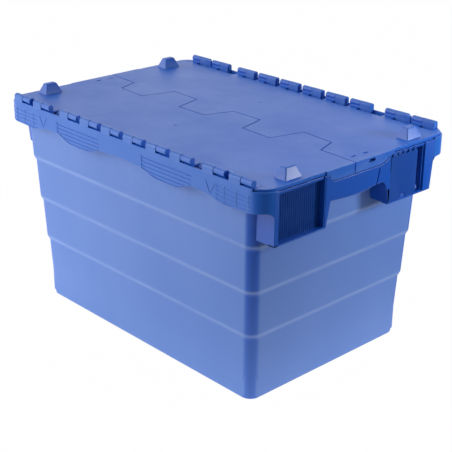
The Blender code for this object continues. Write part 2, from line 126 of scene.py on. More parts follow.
def tub_shell(work):
    """Outside from the foot up, over the top edge, and down the inside to the floor."""
    rings = []
    skid_x, skid_y = BASE_HALF_X - SKID_WIDTH, BASE_HALF_Y - SKID_WIDTH
    rings.append(corner_ring(skid_x - SKID_DEPTH, skid_y - SKID_DEPTH, 0.006, SKID_DEPTH))
    rings.append(corner_ring(skid_x, skid_y, 0.007, 0.0))
    for step in range(4):
        turn = math.radians(90 * step / 3)
        inset = FOOT_SOFTNESS * (1 - math.sin(turn))
        z = FOOT_SOFTNESS * (1 - math.cos(turn))
        rings.append(corner_ring(BASE_HALF_X - inset, BASE_HALF_Y - inset, TUB_RADIUS - inset, z))
    for grown, z in tier_line(FOOT_SOFTNESS * 2, DECK_Z - 0.002):
        rings.append(corner_ring(BASE_HALF_X + grown, BASE_HALF_Y + grown, TUB_RADIUS, z))
    inner = [(grown - WALL, z) for grown, z in tier_line(FLOOR + 0.004, DECK_Z - 0.0004)]
    inner.insert(0, (inner[0][0], FLOOR + 0.004))
    for grown, z in inner[::-1]:
        rings.append(corner_ring(BASE_HALF_X + grown, BASE_HALF_Y + grown, TUB_RADIUS - WALL, z))
    for step in range(1, 4):
        turn = math.radians(90 * step / 3)
        inset = WALL + 0.004 * (1 - math.cos(turn))
        z = FLOOR + 0.004 * (1 - math.sin(turn))
        rings.append(corner_ring(BASE_HALF_X - inset, BASE_HALF_Y - inset, TUB_RADIUS - WALL, z))
    skin(work, rings)


def block(work, low, high, soft=0.0006):
    """A rectangular bar of plastic with rounded edges."""
    corners = bmesh.ops.create_cube(work, size=1.0)["verts"]
    for corner in corners:
        corner.co = Vector(b if c > 0 else a for c, a, b in zip(corner.co, low, high))
    edges = list({edge for corner in corners for edge in corner.link_edges})
    bmesh.ops.bevel(work, geom=edges, offset=soft, segments=2, profile=0.5, affect="EDGES",
                    clamp_overlap=True)


def prism(work, outline, along, start, end, soft=0.0006, crease=40):
    """An outline drawn out along one axis, its creased edges rounded over."""
    order = {"x": (2, 0, 1), "y": (0, 2, 1), "z": (0, 1, 2)}[along]
    loops = []
    for depth in (start, end):
        points = [(a, b, depth) for a, b in outline]
        loops.append([work.verts.new([point[i] for i in order]) for point in points])
    count = len(outline)
    faces = [work.faces.new(loops[0][::-1]), work.faces.new(loops[1])]
    for i in range(count):
        j = (i + 1) % count
        faces.append(work.faces.new((loops[0][i], loops[0][j], loops[1][j], loops[1][i])))
    bmesh.ops.recalc_face_normals(work, faces=faces)
    edges = {edge for face in faces for edge in face.edges}
    creased = [edge for edge in edges if edge.calc_face_angle(0.0) > math.radians(crease)]
    bmesh.ops.bevel(work, geom=creased, offset=soft, segments=2, profile=0.5, affect="EDGES",
                    clamp_overlap=True)


def base_ribs(work):
    """A lattice of low ribs that stiffens the floor, level with the skid round the edge."""
    reach_x, reach_y = BASE_HALF_X - SKID_WIDTH, BASE_HALF_Y - SKID_WIDTH
    for i in range(-3, 4):
        x = i * 0.062
        block(work, (x - 0.0012, -reach_y, 0.0002), (x + 0.0012, reach_y, 0.002), 0.0004)
    for i in range(-2, 3):
        y = i * 0.058
        block(work, (-reach_x, y - 0.0012, 0.0002), (reach_x, y + 0.0012, 0.002), 0.0004)


def piece(name, work, material, body):
    """Close up a finished mesh, shade it smooth, and fix it to its body."""
    bmesh.ops.remove_doubles(work, verts=work.verts, dist=0.000002)
    bmesh.ops.dissolve_degenerate(work, edges=work.edges, dist=0.000002)
    bmesh.ops.recalc_face_normals(work, faces=work.faces)
    mesh = bpy.data.meshes.new(name)
    work.to_mesh(mesh)
    work.free()
    mesh.shade_smooth()
    mesh.set_sharp_from_angle(angle=math.radians(30))
    mesh.materials.append(material)
    made = bpy.data.objects.new(name, mesh)
    bpy.context.scene.collection.objects.link(made)
    even = made.modifiers.new("even_shading", "WEIGHTED_NORMAL")
    even.keep_sharp = True
    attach(made, body)
    return made


def group(name, inputs, outputs):
    """An empty shader group with named sockets."""
    tree = bpy.data.node_groups.new(name, "ShaderNodeTree")
    for label, kind, value in inputs:
        socket = tree.interface.new_socket(label, in_out="INPUT", socket_type="NodeSocket" + kind)
        socket.default_value = value
    for label, kind in outputs:
        tree.interface.new_socket(label, in_out="OUTPUT", socket_type="NodeSocket" + kind)
    return tree, tree.nodes.new("NodeGroupInput"), tree.nodes.new("NodeGroupOutput")


def texture(tree, kind, scale, stretch=(1, 1, 1), **settings):
    """A procedural texture laid on the piece in its own metres."""
    where = tree.nodes.new("ShaderNodeTexCoord")
    size = tree.nodes.new("ShaderNodeMapping")
    size.inputs["Scale"].default_value = stretch
    tree.links.new(where.outputs["Object"], size.inputs["Vector"])
    made = tree.nodes.new("ShaderNodeTex" + kind)
    made.inputs["Scale"].default_value = scale
    for label, value in settings.items():
        made.inputs[label].default_value = value
    tree.links.new(size.outputs["Vector"], made.inputs["Vector"])
    return made


def spread(tree, source, low, high, out_low=0.0, out_high=1.0):
    """Stretch the part of a value between low and high over a new range."""
    made = tree.nodes.new("ShaderNodeMapRange")
    limits = (("From Min", low), ("From Max", high), ("To Min", out_low), ("To Max", out_high))
    for label, value in limits:
        made.inputs[label].default_value = value
    tree.links.new(source, made.inputs["Value"])
    return made.outputs["Result"]


def blended(tree, share, first, second):
    """Mix two colours; either can be a fixed colour or a socket."""
    made = tree.nodes.new("ShaderNodeMix")
    made.data_type = "RGBA"
    for slot_number, value in ((6, first), (7, second)):
        if isinstance(value, bpy.types.NodeSocket):
            tree.links.new(value, made.inputs[slot_number])
        else:
            made.inputs[slot_number].default_value = value
    tree.links.new(share, made.inputs["Factor"])
    return made.outputs[2]


def calculated(tree, operation, first, second):
    """Arithmetic on two values; either can be a number or a socket."""
    made = tree.nodes.new("ShaderNodeMath")
    made.operation = operation
    for slot_number, value in enumerate((first, second)):
        if isinstance(value, bpy.types.NodeSocket):
            tree.links.new(value, made.inputs[slot_number])
        else:
            made.inputs[slot_number].default_value = value
    return made.outputs[0]


def grain_group():
    """The surface left by the tool: a fine spark-eroded grain over a slow orange peel."""
    tree, given, made = group(
        "moulded_grain", (("Fine", "Float", 1.0), ("Peel", "Float", 1.0)), (("Height", "Float"),))
    fine = texture(tree, "Noise", 1400.0, Detail=2.0, Roughness=0.6)
    peel = texture(tree, "Noise", 55.0, Detail=1.0, Roughness=0.4)
    fine_part = calculated(tree, "MULTIPLY", fine.outputs["Fac"], given.outputs["Fine"])
    peel_part = calculated(tree, "MULTIPLY", peel.outputs["Fac"], given.outputs["Peel"])
    tree.links.new(calculated(tree, "ADD", fine_part, peel_part), made.inputs["Height"])
    return tree


def flow_group():
    """Colour that drifts a little where the melt flowed, with faint streaks along the flow."""
    tree, given, made = group(
        "flow_of_colour",
        (("Colour", "Color", WALL_BLUE_WITH_SHEEN), ("Deep Colour", "Color", WALL_BLUE_DEEP_WITH_SHEEN), ("Drift", "Float", 0.5)),
        (("Colour", "Color"), ("Cloud", "Float")))
    cloud = texture(tree, "Noise", 7.0, Detail=3.0, Roughness=0.55)
    streak = texture(tree, "Noise", 30.0, stretch=(1.0, 1.0, 0.12), Detail=2.0)
    both = calculated(tree, "ADD", spread(tree, cloud.outputs["Fac"], 0.35, 0.65, 0.0, 0.7),
                      spread(tree, streak.outputs["Fac"], 0.35, 0.65, 0.0, 0.3))
    share = calculated(tree, "MULTIPLY", both, given.outputs["Drift"])
    colour = blended(tree, share, given.outputs["Colour"], given.outputs["Deep Colour"])
    tree.links.new(colour, made.inputs["Colour"])
    tree.links.new(both, made.inputs["Cloud"])
    return tree


def rub_group():
    """Edges and corners rubbed pale by stacking, broken up so that the wear looks handled."""
    tree, given, made = group(
        "rubbed_edges",
        (("Colour", "Color", WALL_BLUE_WITH_SHEEN), ("Rubbed Colour", "Color", RUBBED_AND_HIGHLIT_BLUE), ("Amount", "Float", 0.5)),
        (("Colour", "Color"), ("Rub", "Float")))
    shape = tree.nodes.new("ShaderNodeNewGeometry")
    edge = spread(tree, shape.outputs["Pointiness"], 0.53, 0.62)
    patch = texture(tree, "Noise", 45.0, Detail=4.0, Roughness=0.7)
    broken = calculated(tree, "MULTIPLY", edge, spread(tree, patch.outputs["Fac"], 0.35, 0.6, 0.25, 1.0))
    share = calculated(tree, "MULTIPLY", broken, given.outputs["Amount"])
    tree.links.new(blended(tree, share, given.outputs["Colour"], given.outputs["Rubbed Colour"]),
                   made.inputs["Colour"])
    tree.links.new(share, made.inputs["Rub"])
    return tree


def corner_shade_group():
    """Painted shade where a wall turns round an upright corner: one at the middle of the turn, nought on the
    flats, weaker towards the foot.
    """
    tree, given, made = group(
        "painted_corner_shade", (("Amount", "Float", 1.0),), (("Mask", "Float"),))
    where = tree.nodes.new("ShaderNodeTexCoord")
    parts = tree.nodes.new("ShaderNodeSeparateXYZ")
    tree.links.new(where.outputs["Normal"], parts.inputs[0])
    turn = calculated(tree, "ABSOLUTE", calculated(tree, "MULTIPLY", parts.outputs[0], parts.outputs[1]), 0.0)
    mask = spread(tree, turn, 0.08, 0.34)
    height = tree.nodes.new("ShaderNodeSeparateXYZ")
    tree.links.new(where.outputs["Object"], height.inputs[0])
    # The painted shade weakens towards the foot, standing in for light thrown up from the floor.
    fading = calculated(tree, "MULTIPLY", mask, spread(tree, height.outputs[2], 0.0, 0.30, 0.45, 1.0))
    tree.links.new(calculated(tree, "MULTIPLY", fading, given.outputs["Amount"]), made.inputs["Mask"])
    return tree


def step_highlight_group():
    """Painted highlights: pale lines along the steps of the walls, where the light catches each step."""
    tree, given, made = group(
        "painted_step_highlights",
        (("Colour", "Color", WALL_BLUE_WITH_SHEEN), ("Highlight Colour", "Color", RUBBED_AND_HIGHLIT_BLUE), ("Amount", "Float", 0.5)),
        (("Colour", "Color"),))
    where = tree.nodes.new("ShaderNodeTexCoord")
    parts = tree.nodes.new("ShaderNodeSeparateXYZ")
    tree.links.new(where.outputs["Object"], parts.inputs[0])
    line = None
    for centre in STEP_HEIGHTS:
        above = calculated(tree, "SUBTRACT", parts.outputs[2], centre + HIGHLIGHT_ABOVE_STEP)
        off = calculated(tree, "ABSOLUTE", above, 0.0)
        here = spread(tree, off, 0.0008, 0.0042, 1.0, 0.0)
        line = here if line is None else calculated(tree, "ADD", line, here)
    patch = texture(tree, "Noise", 14.0, Detail=3.0, Roughness=0.6)
    broken = calculated(tree, "MULTIPLY", line, spread(tree, patch.outputs["Fac"], 0.3, 0.6, 0.45, 1.0))
    share = calculated(tree, "MULTIPLY", broken, given.outputs["Amount"])
    tree.links.new(blended(tree, share, given.outputs["Colour"], given.outputs["Highlight Colour"]),
                   made.inputs["Colour"])
    return tree


GRAIN = grain_group()
STEP_HIGHLIGHT = step_highlight_group()
FLOW = flow_group()
RUB = rub_group()
CORNER_SHADE = corner_shade_group()


def plastic(name, colour, deep, drift, rubbed_and_highlit, rub, roughness, specular, fine, peel, corner=0.0,
            step_highlight=0.0):
    """Polypropylene: pigment, rubbed edges, painted corner shade, painted highlight lines on the steps and
    the tool's grain, each as strong as this part has it.
    """
    material = bpy.data.materials.new(name)
    material.use_nodes = True
    tree = material.node_tree
    shader = tree.nodes["Principled BSDF"]
    shader.inputs["Specular IOR Level"].default_value = specular
    pigment = tree.nodes.new("ShaderNodeGroup")
    pigment.node_tree = FLOW
    pigment.inputs["Colour"].default_value = colour
    pigment.inputs["Deep Colour"].default_value = deep
    pigment.inputs["Drift"].default_value = drift
    wear = tree.nodes.new("ShaderNodeGroup")
    wear.node_tree = RUB
    wear.inputs["Rubbed Colour"].default_value = rubbed_and_highlit
    wear.inputs["Amount"].default_value = rub
    # Painted shade: round upright corners the colour is pulled towards the dark corner colour.
    corner_shade = tree.nodes.new("ShaderNodeGroup")
    corner_shade.node_tree = CORNER_SHADE
    corner_shade.inputs["Amount"].default_value = corner
    turned = blended(tree, corner_shade.outputs["Mask"], pigment.outputs["Colour"], CORNER_SHADE_BLUE)
    tree.links.new(turned, wear.inputs["Colour"])
    # Painted highlights: pale lines laid along the steps of the walls.
    highlighted = tree.nodes.new("ShaderNodeGroup")
    highlighted.node_tree = STEP_HIGHLIGHT
    highlighted.inputs["Highlight Colour"].default_value = rubbed_and_highlit
    highlighted.inputs["Amount"].default_value = step_highlight
    tree.links.new(wear.outputs["Colour"], highlighted.inputs["Colour"])
    tree.links.new(highlighted.outputs["Colour"], shader.inputs["Base Color"])
    rough = spread(tree, pigment.outputs["Cloud"], 0.0, 1.0, roughness - 0.04, roughness + 0.05)
    tree.links.new(calculated(tree, "ADD", rough, calculated(tree, "MULTIPLY", wear.outputs["Rub"], 0.10)),
                   shader.inputs["Roughness"])
    grain = tree.nodes.new("ShaderNodeGroup")
    grain.node_tree = GRAIN
    grain.inputs["Fine"].default_value = fine
    grain.inputs["Peel"].default_value = peel
    bump = tree.nodes.new("ShaderNodeBump")
    bump.inputs["Strength"].default_value = 0.5
    bump.inputs["Distance"].default_value = 0.0003
    tree.links.new(grain.outputs["Height"], bump.inputs["Height"])
    tree.links.new(bump.outputs["Normal"], shader.inputs["Normal"])
    return material


# Painted light on the walls: their pale blue holds a painted sheen, the upright corners carry painted shade,
# and the steps carry painted highlight lines.
sheen_wall_plastic = plastic("wall_polypropylene_painted_sheen", WALL_BLUE_WITH_SHEEN, WALL_BLUE_DEEP_WITH_SHEEN, 0.5, RUBBED_AND_HIGHLIT_BLUE, 0.35,
                       roughness=0.50, specular=0.35, fine=0.35, peel=0.6, corner=0.9, step_highlight=0.6)
tub_work = bmesh.new()
tub_shell(tub_work)
base_ribs(tub_work)
tub = piece("tub", tub_work, sheen_wall_plastic, "container")
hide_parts("container_body")


# ---- the collar ---------------------------------------------------------------------------------
# The deep double rim that carries the crate: a 3 mm skirt hung from a flat deck, part of the same
# moulding.  Its lower edge waves, and shallow ledges are let into it.  Along the hinges the deck drops,
# and the outer wall stands above it as a sill.
COLLAR_HALF_X = 0.300
COLLAR_HALF_Y = 0.200
COLLAR_RADIUS = 0.028
COLLAR_TOP_Z = 0.3455
HINGE_DECK_Z = 0.3415
DECK_FOOT_Z = 0.3385
SKIRT = 0.003
HINGE_HALF = 0.279
SILL_TOP_Z = 0.349
PANEL_SIDE_Y = 0.164
WAVE = ((0.0, 0.320), (0.045, 0.318), (0.085, 0.309), (0.125, 0.309), (0.160, 0.319),
        (0.185, 0.319), (0.225, 0.312), (0.265, 0.313), (0.310, 0.3155))
LEDGE_PANELS = ((0.051, 0.159, 0.0008), (0.212, 0.281, 0.0005))
LEDGE_TOP_Z = 0.3385
LEDGE_PITCH = 0.0062
LEDGE_THICKNESS = 0.0018
LEDGES = 5
COLLAR_BLUE = (0.014, 0.145, 0.620, 1.0)
COLLAR_BLUE_DEEP = (0.009, 0.122, 0.570, 1.0)


def skirt_foot(x):
    """Height of the skirt's lower edge along a long side."""
    reach = abs(x)
    for (x0, z0), (x1, z1) in zip(WAVE, WAVE[1:]):
        if reach <= x1:
            t = (reach - x0) / (x1 - x0)
            return z0 + (z1 - z0) * (3 - 2 * t) * t * t
    return WAVE[-1][1]


def ledge_inset(x, depth_share):
    """How far the skirt's face stands back inside the ledge panels."""
    for start, end, depth in LEDGE_PANELS:
        if start < abs(x) < end:
            return depth * depth_share
    return 0.0


def ledge_rows():
    """Heights down the skirt's face, and the share of the full inset at each."""
    rows = []
    for i in range(LEDGES):
        z = LEDGE_TOP_Z - i * LEDGE_PITCH
        hollow_foot = z - LEDGE_PITCH + LEDGE_THICKNESS
        rows += [(z, 0.0), (z - 0.0005, 0.75), (z - 0.0012, 1.0)]
        rows += [(hollow_foot + 0.0003, 1.0), (hollow_foot, 0.0)]
    return rows


def collar_section(place, out, inner, foot, top, deck):
    """One cross-section of the collar, from the outer face round to the inside of the skirt."""
    face = [(0.0008, foot), (0.0002, foot + 0.0002), (0.0, foot + 0.0008)]
    on_side = abs(out.x) < 0.5
    for z, share in ledge_rows()[::-1]:
        inset = ledge_inset(place.x, share) if on_side else 0.0
        face.append((inset, max(z, foot + 0.0009)))
    rim = [(0.0, top - 0.0012), (0.0003, top - 0.0004), (0.0011, top), (0.0021, top)]
    rim += [(0.0027, max(top - 0.0003, deck)), (0.0030, max(top - 0.0009, deck))]
    back = [(0.0034, deck), None, None, (0.0030, DECK_FOOT_Z), (0.0030, foot + 0.0008)]
    back += [(0.0028, foot + 0.0002), (0.0022, foot)]
    ring = []
    for point in face + rim + back:
        if point is not None:
            ring.append(Vector((place.x - out.x * point[0], place.y - out.y * point[0], point[1])))
        elif len(ring) == len(face) + len(rim) + 1:
            ring.append(Vector((inner.x, inner.y, deck)))
        else:
            ring.append(Vector((inner.x, inner.y, DECK_FOOT_Z)))
    return ring


def side_stations():
    """Where to cut a section along a long side: close together at every border."""
    stations = {round(-0.272 + 0.008 * i, 5) for i in range(69)}
    for start, end, _ in LEDGE_PANELS:
        for border in (start, end):
            if border < 0.272:
                stations |= {border - 0.0004, border + 0.0004, -border - 0.0004, -border + 0.0004}
    return sorted(stations, reverse=True)


def collar_half(work):
    """From the pocket on the +X end, along the -Y side, to the label panel on the -X end."""
    tub_x, tub_y = BASE_HALF_X + 0.0197, BASE_HALF_Y + 0.0197
    centre_x, centre_y = COLLAR_HALF_X - COLLAR_RADIUS, COLLAR_HALF_Y - COLLAR_RADIUS
    sections = []

    def cut(place, out, inner, foot):
        in_hinge = abs(place.x) < HINGE_HALF and abs(out.x) < 0.5
        top = SILL_TOP_Z if in_hinge else COLLAR_TOP_Z
        deck = HINGE_DECK_Z if in_hinge else DECK_Z
        sections.append(collar_section(place, out, inner, foot, top, deck))

    def corner(sign, turns, foot_of):
        for turn in turns:
            out = Vector((math.cos(math.radians(turn)), math.sin(math.radians(turn)), 0))
            place = Vector((sign * centre_x, -centre_y, 0)) + out * COLLAR_RADIUS
            inner = Vector((sign * (tub_x - TUB_RADIUS), -(tub_y - TUB_RADIUS), 0)) + out * TUB_RADIUS
            cut(place, out, inner, foot_of(place))

    def pocket_corner_foot(place):
        t = min(1.0, max(0.0, (place.y + 0.188) / 0.011))
        return skirt_foot(place.x) - 0.0075 * t * t

    def panel_corner_foot(place):
        gap = max(0.0, -place.y - PANEL_SIDE_Y)
        t = max(0.0, 1.0 - gap / 0.009)
        return skirt_foot(place.x) - 0.009 * (1 - math.sqrt(1 - t * t * 0.99))

    cut(Vector((COLLAR_HALF_X, -0.1712, 0)), Vector((1, 0, 0)), Vector((tub_x, -0.1712, 0)), 0.300)
    corner(1, [-5 * step for step in range(1, 15)], pocket_corner_foot)
    corner(1, [-71.0, -71.7, -75], pocket_corner_foot)
    corner(1, [-76.3, -76.9, -80, -85, -90], pocket_corner_foot)
    for x in side_stations()[1:-1]:
        inner = Vector((x * (tub_x - TUB_RADIUS) / centre_x, -tub_y, 0))
        cut(Vector((x, -COLLAR_HALF_Y, 0)), Vector((0, -1, 0)), inner, skirt_foot(x))
    corner(-1, [-90, -95, -100, -103.1, -103.7], panel_corner_foot)
    corner(-1, [-105, -108.3, -109.0], panel_corner_foot)
    corner(-1, [-110 - 5 * step for step in range(14)], panel_corner_foot)
    for y in (-0.170, -0.168, -0.166, -0.1645):
        foot = panel_corner_foot(Vector((-COLLAR_HALF_X, y, 0)))
        cut(Vector((-COLLAR_HALF_X, y, 0)), Vector((-1, 0, 0)), Vector((-tub_x, y, 0)), foot)
    skin(work, sections)


def half_turn(work, verts):
    """Carry these points round half a turn about Z."""
    bmesh.ops.rotate(work, verts=verts, cent=(0, 0, 0), matrix=Matrix.Rotation(math.pi, 3, "Z"))


def and_turned(work):
    """Repeat everything so far after half a turn about Z: the crate is the same both ways round."""
    everything = work.verts[:] + work.edges[:] + work.faces[:]
    copy = bmesh.ops.duplicate(work, geom=everything)["geom"]
    half_turn(work, [item for item in copy if isinstance(item, bmesh.types.BMVert)])


def vee_rib(work, x):
    """Two thin ribs that meet low down on the skirt's face, beside a ledge panel."""
    for head in (x - 0.009, x + 0.010):
        outline = [(head - 0.0008, 0.3375), (head + 0.0008, 0.3375)]
        outline += [(x + 0.0008, 0.3200), (x - 0.0008, 0.3200)]
        prism(work, outline, "y", -COLLAR_HALF_Y - 0.0006, -COLLAR_HALF_Y + 0.0008, 0.0004)


def upright_rib(work, x, foot, depth):
    """An upright rib that crosses the hollows of a ledge panel and ends flush with the skirt."""
    block(work, (x - 0.0009, -COLLAR_HALF_Y, foot), (x + 0.0009, -COLLAR_HALF_Y + depth, LEDGE_TOP_Z), 0.0005)


def under_web(work, x):
    """A web under the deck that ties the skirt to the tub, one below each knuckle."""
    block(work, (x - 0.00125, -COLLAR_HALF_Y + 0.0028, 0.3215), (x + 0.00125, -0.186, 0.3395), 0.0004)


def hinge_starts():
    """Where each of the ten hinge modules starts on the -Y side, going along +X."""
    groups = ((-0.277, 2), (-0.151, 6), (0.182, 2))
    return [first + i * 0.053 for first, count in groups for i in range(count)]


# The collar's corners get a weaker share of the painted corner shade.
collar_plastic = plastic("collar_polypropylene", COLLAR_BLUE, COLLAR_BLUE_DEEP, 0.6, RUBBED_AND_HIGHLIT_BLUE, 0.45,
                         roughness=0.36, specular=0.50, fine=0.12, peel=0.5, corner=0.3)
collar_work = bmesh.new()
collar_half(collar_work)
for start in hinge_starts():
    under_web(collar_work, start + 0.011)
vee_rib(collar_work, 0.198)
vee_rib(collar_work, -0.198)
for rib_x in (0.226, 0.250, 0.272):
    upright_rib(collar_work, rib_x, 0.3160, 0.0022)
    upright_rib(collar_work, -rib_x, 0.3160, 0.0022)
and_turned(collar_work)
piece("collar", collar_work, collar_plastic, "container")


# ---- hinge knuckles -----------------------------------------------------------------------------
# Ten upright ears on each long side, moulded with the collar and rising just inside its sill.  Each
# carries a stub pin that the lid's finger snaps over.  In a pair, a wing closes the gap between modules.
AXIS_Y = 0.1947
AXIS_Z = 0.3547
HUB_RADIUS = 0.0053
KNUCKLE = 0.022
SILL_CLEARANCE = 0.00005
PIN_RADIUS = 0.0024
PIN_LENGTH = 0.0085
WING = 0.0085
WING_Y = (0.1885, 0.1925)
WING_TOP_Z = 0.3590


def arc(centre, radius, start, end, steps):
    """Points on an arc, from one angle in degrees to another."""
    turns = [math.radians(start + (end - start) * step / steps) for step in range(steps + 1)]
    return [(centre[0] + radius * math.cos(t), centre[1] + radius * math.sin(t)) for t in turns]


def knuckle(work, start):
    """An ear that rises just inside the sill, and its pin."""
    crown = arc((-AXIS_Y, AXIS_Z), HUB_RADIUS - SILL_CLEARANCE, 180, 22, 12)
    foot = HINGE_DECK_Z - 0.0025
    ear = [(-COLLAR_HALF_Y + SILL_CLEARANCE, foot)] + crown + [(-0.1880, foot)]
    prism(work, ear, "x", start, start + KNUCKLE, 0.0005, crease=50)
    pin = arc((-AXIS_Y, AXIS_Z), PIN_RADIUS, 0, 345, 23)
    prism(work, pin, "x", start + KNUCKLE - 0.002, start + KNUCKLE + PIN_LENGTH, 0.0004, crease=50)


def wing(work, start):
    """A thin wall from a pair's second ear towards the first module, across the gap between them."""
    block(work, (start - WING, -WING_Y[1], HINGE_DECK_Z - 0.001),
          (start + 0.002, -WING_Y[0], WING_TOP_Z), 0.0005)


knuckle_work = bmesh.new()
for start in hinge_starts():
    knuckle(knuckle_work, start)
for start in (hinge_starts()[1], hinge_starts()[9]):
    wing(knuckle_work, start)
and_turned(knuckle_work)
piece("hinge_knuckles", knuckle_work, collar_plastic, "container")


# ---- the open label pocket ----------------------------------------------------------------------
# A box hung between the tub and the collar's face, with a shallow recess for a card.  Fine upright
# ribs on the back keep a wet label from sticking down all over.
BOX_FOOT_Z = 0.265
RECESS_FLOOR_Z = 0.268
POCKET_Y = (-0.169, -0.080)
POCKET_BOX_Y = (-0.177, -0.0765)
RECESS_X = 0.291
TUB_END_X = 0.2655
POCKET_RIB_PITCH = 0.0042
# Painted shade: the pocket's back gets a near-black blue for the shadow inside the recess.
POCKET_SHADE_BLUE = (0.002, 0.040, 0.250, 1.0)
POCKET_SHADE_BLUE_DEEP = (0.002, 0.034, 0.220, 1.0)


def bar(low, high, soft=0.0008):
    """A rounded bar as a solid of its own."""
    work = bmesh.new()
    block(work, low, high, soft)
    return work


def drawn(outline, along, start, end, soft=0.0008, crease=40):
    """A drawn-out outline as a solid of its own."""
    work = bmesh.new()
    prism(work, outline, along, start, end, soft, crease)
    return work


def pocket_box():
    """The frame of the open pocket: two sides, a return to the tub, and the floor."""
    face, inner = COLLAR_HALF_X, RECESS_X - 0.003
    return [bar((inner, POCKET_BOX_Y[0], BOX_FOOT_Z), (face, POCKET_Y[0], DECK_Z)),
            bar((TUB_END_X, POCKET_BOX_Y[0] + 0.0004, BOX_FOOT_Z + 0.0004),
                (inner + 0.004, POCKET_BOX_Y[0] + 0.003, DECK_Z - 0.0010), 0.0005),
            bar((TUB_END_X, POCKET_Y[1], BOX_FOOT_Z), (face, POCKET_BOX_Y[1], DECK_Z)),
            bar((inner, POCKET_BOX_Y[0], BOX_FOOT_Z), (face, POCKET_BOX_Y[1], RECESS_FLOOR_Z))]


def pocket_back(work):
    """The pocket's back wall and its fine upright ribs."""
    block(work, (RECESS_X - 0.003, POCKET_Y[0] - 0.002, BOX_FOOT_Z + 0.0005),
          (RECESS_X, POCKET_Y[1] + 0.002, DECK_Z), 0.0003)
    count = int((POCKET_Y[1] - POCKET_Y[0]) / POCKET_RIB_PITCH)
    for i in range(1, count + 1):
        y = POCKET_Y[0] + i * POCKET_RIB_PITCH
        block(work, (RECESS_X - 0.001, y - 0.0005, RECESS_FLOOR_Z - 0.001),
              (RECESS_X + 0.0005, y + 0.0005, DECK_Z), 0.0003)


# The pocket's near-black blue is painted shade in the recess.
pocket_shade_plastic = plastic("pocket_painted_shade", POCKET_SHADE_BLUE, POCKET_SHADE_BLUE_DEEP, 0.5, COLLAR_BLUE, 0.3,
                         roughness=0.42, specular=0.20, fine=0.15, peel=0.3)
pocket_work = bmesh.new()
pocket_back(pocket_work)
and_turned(pocket_work)
piece("pocket_backs", pocket_work, pocket_shade_plastic, "container")


# ---- the hand grip ------------------------------------------------------------------------------
# The collar's face carried down as a bar to lift by, its lower edge turned in and rounded for the
# fingers.  Sloping cheeks close the sides of the hand opening.
GRIP_Y = (-0.0785, 0.0615)
GRIP_FOOT = ((-0.0785, 0.3035), (-0.060, 0.3015), (-0.035, 0.2993), (-0.014, 0.2983), (0.008, 0.2995),
             (0.030, 0.3028), (0.0615, 0.3035))
SEAT_LINE = ((-0.0785, 0.3432), (-0.0767, 0.3432), (-0.067, 0.3352), (-0.0605, 0.3312), (0.0415, 0.3312),
             (0.059, 0.3377), (0.0615, 0.3432))
GRIP_FLANGE = 0.009
# Painted shade: the end faces are the same moulding as the collar but get a darker blue, for the shade they
# stand in.
SHADED_FACE_BLUE = (0.003, 0.092, 0.530, 1.0)
SHADED_FACE_BLUE_DEEP = (0.002, 0.080, 0.480, 1.0)


def along(line, at):
    """Read a line of (place, height) points at one place."""
    for (a, low), (b, high) in zip(line, line[1:]):
        if at <= b:
            return low + (high - low) * max(0.0, at - a) / (b - a)
    return line[-1][1]


def grip_bar(work):
    """The bar as a run of cross-sections, because its foot bows and its top steps under the lid's lip."""
    face, back = COLLAR_HALF_X, COLLAR_HALF_X - SKIRT
    sections = []
    for step in range(41):
        y = GRIP_Y[0] + (GRIP_Y[1] - GRIP_Y[0]) * step / 40
        foot = along(softened(GRIP_FOOT, 0.010), y)
        seat = along(SEAT_LINE, y)
        top = max(DECK_Z - 0.0005, seat + 0.0002)
        line = [(0.2932, top), (0.2935, seat), (face - 0.0014, seat), (face - 0.0004, seat - 0.0004)]
        line += [(face, seat - 0.0014), (face, foot + 0.0030)]
        line += [(face - 0.0003, foot + 0.0015), (face - 0.0012, foot + 0.0004), (face - 0.0028, foot)]
        line += [(face - GRIP_FLANGE + 0.001, foot), (face - GRIP_FLANGE, foot + 0.0008)]
        line += [(face - GRIP_FLANGE, foot + 0.0022), (face - GRIP_FLANGE + 0.001, foot + 0.0030)]
        line += [(back - 0.0012, foot + 0.0030), (back - 0.0004, foot + 0.0038)]
        line += [(back - 0.0004, seat - 0.0030), (0.2905, seat - 0.0030), (0.2905, top)]
        sections.append([Vector((x, y, z)) for x, z in line])
    skin(work, sections)


def cheek(outline):
    """A flat cheek in the plane of the face."""
    return drawn(outline, "x", COLLAR_HALF_X - SKIRT, COLLAR_HALF_X)


def side_wall(foot_y, head_y, foot_z, head_z):
    """The wall of the hand opening, from the cheek's sloping edge back to the tub."""
    thick, top = 0.0025, DECK_Z - 0.001
    outline = [(foot_y, foot_z), (head_y, head_z), (head_y, top), (head_y + thick, top),
               (head_y + thick, head_z), (foot_y + thick, foot_z)]
    return drawn(outline, "x", TUB_END_X, COLLAR_HALF_X - 0.0010, 0.0005)


def placed(work):
    """A throwaway object for a solid, so that it can be cut or joined."""
    bmesh.ops.recalc_face_normals(work, faces=work.faces)
    mesh = bpy.data.meshes.new("solid")
    work.to_mesh(mesh)
    work.free()
    made = bpy.data.objects.new("solid", mesh)
    bpy.context.scene.collection.objects.link(made)
    return made


def combined(parts, operation):
    """Join the solids, or cut all the later ones out of the first."""
    solids = [placed(work) for work in parts]
    for other in solids[1:]:
        step = solids[0].modifiers.new("step", "BOOLEAN")
        step.operation = operation
        step.solver = "EXACT"
        step.object = other
    bpy.context.view_layer.update()
    made = bmesh.new()
    made.from_mesh(solids[0].evaluated_get(bpy.context.evaluated_depsgraph_get()).to_mesh())
    for solid in solids:
        bpy.data.meshes.remove(solid.data)
    return made


